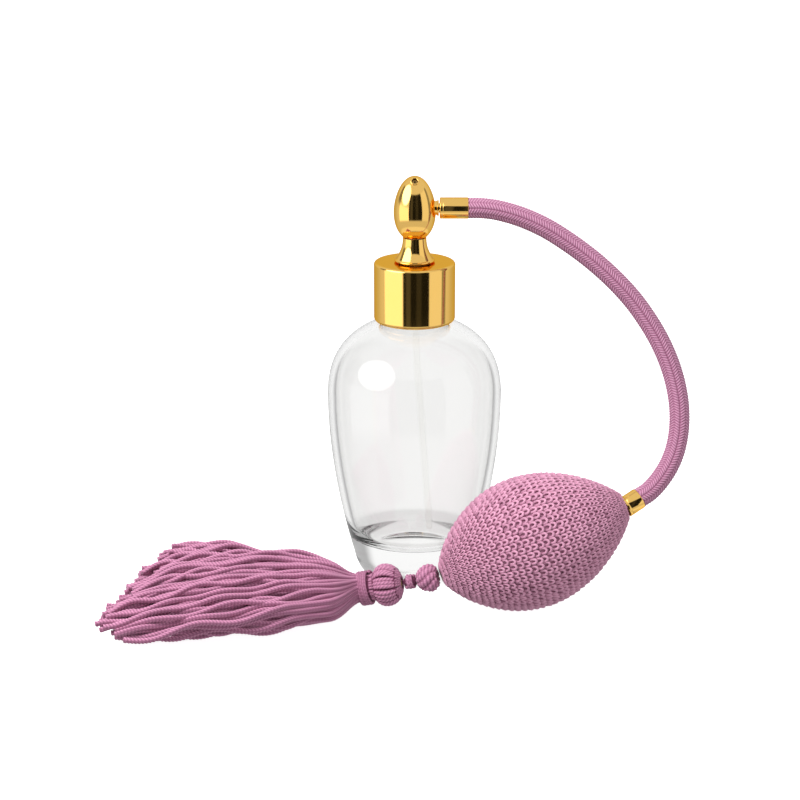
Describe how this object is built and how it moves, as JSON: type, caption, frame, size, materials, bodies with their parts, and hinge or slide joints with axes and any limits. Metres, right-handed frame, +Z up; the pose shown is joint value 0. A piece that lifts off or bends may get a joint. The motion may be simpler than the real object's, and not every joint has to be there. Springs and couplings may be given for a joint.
{
  "type": "perfume bottle with bulb atomiser",
  "caption": "Clear glass perfume bottle with a gold screw collar and spray head, a braided air hose, a knit squeeze bulb and a yarn tassel.",
  "frame": {"origin": "centre of the bottle's flat foot, on the surface that the bottle stands on", "axes": "+Z up the bottle's axis, +X from the tassel towards the squeeze bulb, -Y the way the spray leaves"},
  "size_m": [0.1951, 0.1121, 0.1424],
  "materials": {
    "bottle_glass": "clear, polished",
    "gold": "gold-coloured, mirror polished",
    "dark_brass": "turned",
    "steel": "drawn and ground",
    "white_plastic": "moulded",
    "clear_plastic": "extruded, translucent",
    "seal": "matte",
    "rubber": "matte",
    "braid": "tight braided yarn, slight sheen",
    "knit": "knitted yarn",
    "yarn": "twisted rayon yarn, slight sheen",
    "bead_wood": "turned, unfinished"
  },
  "bodies": {
    "bottle": {"glass_bottle": "bottle_glass"},
    "insert": {"neck_gasket": "seal", "spray_insert": "white_plastic", "spigot_seal_ring": "seal", "dip_tube": "clear_plastic"},
    "collar": {"collar_shell": "gold", "collar_liner": "white_plastic"},
    "head": {"head_stem": "gold", "head_shell": "gold", "liquid_tube": "steel", "spray_nozzle": "dark_brass", "air_nipple": "gold", "head_ferrule": "gold", "hose_tube": "rubber", "hose_sleeve": "braid"},
    "bulb": {"bulb_ferrule": "gold", "bulb_bladder": "rubber", "bulb_cover": "knit", "outlet_valve": "dark_brass"},
    "outlet_ball": {"outlet_ball": "steel"},
    "tail": {"intake_valve": "dark_brass", "tail_knot": "yarn"},
    "intake_ball": {"intake_ball": "steel"},
    "tassel_link": {"tassel_neck_wrap": "yarn", "tassel_loop": "yarn"},
    "tassel": {"tassel_head": "yarn", "tassel_bead": "bead_wood", "tassel_tie": "yarn", "tassel_skirt": "yarn"}
  },
  "joints": [
    {"name": "thread_rise", "type": "slide", "parent": "bottle", "child": "insert", "axis": [0, 0, 1], "range_m": [0, 0.0045]},
    {"name": "collar_turn", "type": "hinge", "parent": "insert", "child": "collar", "pos_m": [0, 0, 0.1], "axis": [0, 0, 1], "range_deg": [0, 540]},
    {"name": "head_swivel", "type": "hinge", "parent": "insert", "child": "head", "pos_m": [0, 0, 0.12], "axis": [0, 0, 1], "continuous": true},
    {"name": "hose_lift", "type": "hinge", "parent": "head", "child": "bulb", "pos_m": [0.04, -0.0008, 0.1266], "axis": [0, -0.8192, 0.5736], "range_deg": [0, 50], "deforming": ["hose_tube", "hose_sleeve"]},
    {"name": "outlet_ball_lift", "type": "slide", "parent": "bulb", "child": "outlet_ball", "axis": [0.8299, 0.33, 0.4499], "range_m": [0, 0.0006]},
    {"name": "bulb_squeeze", "type": "slide", "parent": "bulb", "child": "tail", "axis": [0.9329, 0.1983, 0.3007], "range_m": [0, 0.008], "stiffness_N_per_m": 400, "deforming": ["bulb_cover", "bulb_bladder"]},
    {"name": "intake_ball_lift", "type": "slide", "parent": "tail", "child": "intake_ball", "axis": [0.9329, 0.1983, 0.3007], "range_m": [0, 0.0006]},
    {"name": "tassel_droop", "type": "hinge", "parent": "tail", "child": "tassel_link", "pos_m": [-0.0015, -0.0383, 0.0102], "axis": [0, 1, 0], "range_deg": [0, 42]},
    {"name": "tassel_swing", "type": "hinge", "parent": "tassel_link", "child": "tassel", "pos_m": [-0.0015, -0.0383, 0.0102], "axis": [0, 0, 1], "range_deg": [0, 60]}
  ],
  "couplings": [
    {"joint": "collar_turn", "follows": "thread_rise", "rad_per_m": 2094.4},
    {"joint": "tassel_droop", "follows": "hose_lift", "ratio": 0.82}
  ]
}
